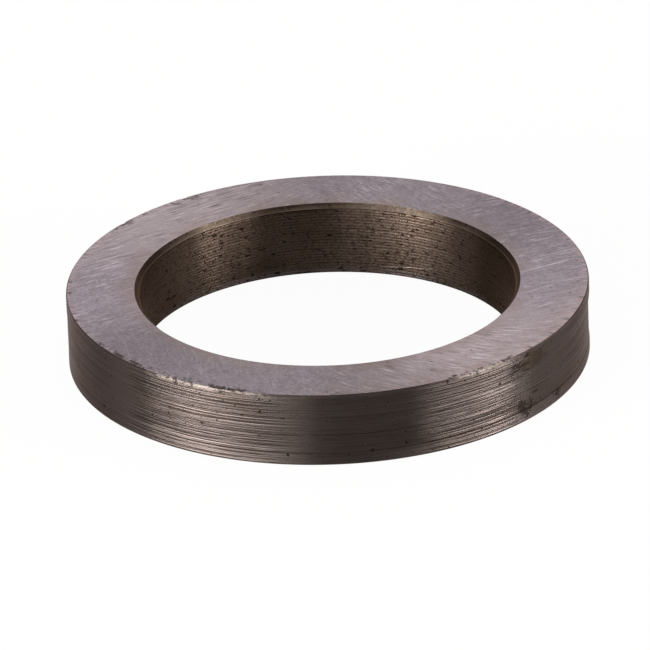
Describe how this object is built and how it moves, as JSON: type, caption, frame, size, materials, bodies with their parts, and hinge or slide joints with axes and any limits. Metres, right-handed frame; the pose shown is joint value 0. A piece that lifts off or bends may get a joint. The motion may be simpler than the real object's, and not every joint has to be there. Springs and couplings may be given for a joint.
{
  "type": "sprocket spacer",
  "caption": "Flat turned steel ring with a plain bore, chamfered at its upper mouth; slips over a shaft and holds a sprocket at a set distance.",
  "frame": {"origin": "centre of the bore, on the lower face", "axes": "+Z along the bore axis, from the lower face to the upper face with the wide bore mouth"},
  "size_m": [0.0508, 0.0508, 0.0074],
  "materials": {
    "turned_steel": "bare steel, turned wall and bore with fine feed marks, ground faces with crossing scratches"
  },
  "bodies": {
    "root": {"spacer_ring": "turned_steel"}
  },
  "joints": []
}
